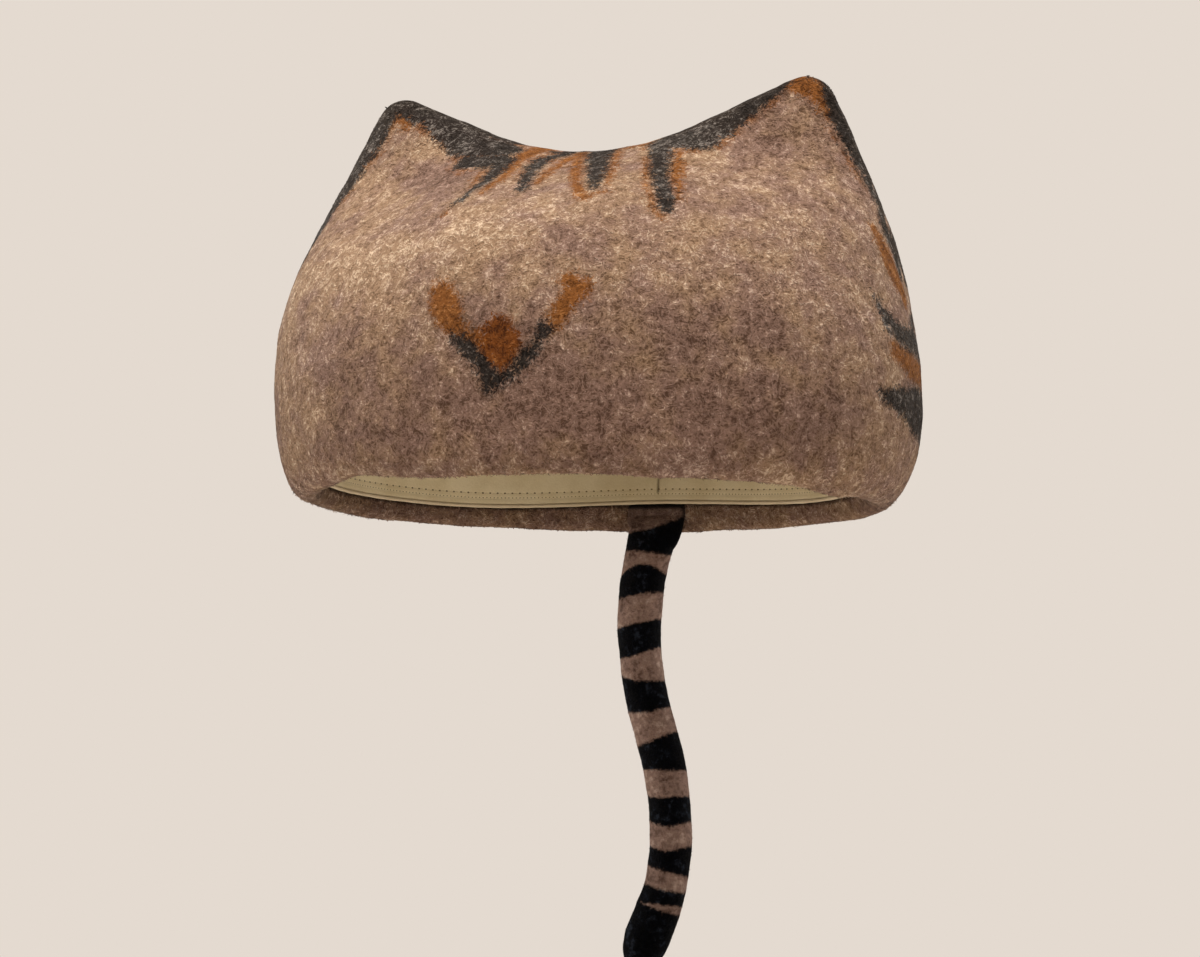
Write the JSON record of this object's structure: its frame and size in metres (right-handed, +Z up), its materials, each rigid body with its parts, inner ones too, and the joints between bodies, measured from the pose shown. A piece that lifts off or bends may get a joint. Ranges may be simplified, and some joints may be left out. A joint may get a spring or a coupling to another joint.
{
  "type": "fulled felt cat-ear hat with a tail",
  "caption": "Soft fulled-wool hat with cat ears at its upper corners, a leather sweatband and a striped tail hanging from the back of the opening.",
  "frame": {"origin": "middle of the head opening, level with the sweatband's lower edge, where a head holds the hat", "axes": "+Z up through the crown, -Y toward the face, +Y toward the back where the tail hangs, +X toward the wearer's left"},
  "size_m": [0.2534, 0.1885, 0.3389],
  "materials": {
    "wool_felt": "heathered fulled wool, matt and fuzzy",
    "band_leather": "smooth pale leather, satin",
    "piping_leather": "thin leather over a reed, satin",
    "tail_wool": "fulled wool with dark stripes, matt and fuzzy"
  },
  "bodies": {
    "root": {"felt_crown": "wool_felt", "sweatband": "band_leather", "reed_piping": "piping_leather", "tail": "tail_wool"}
  },
  "joints": []
}
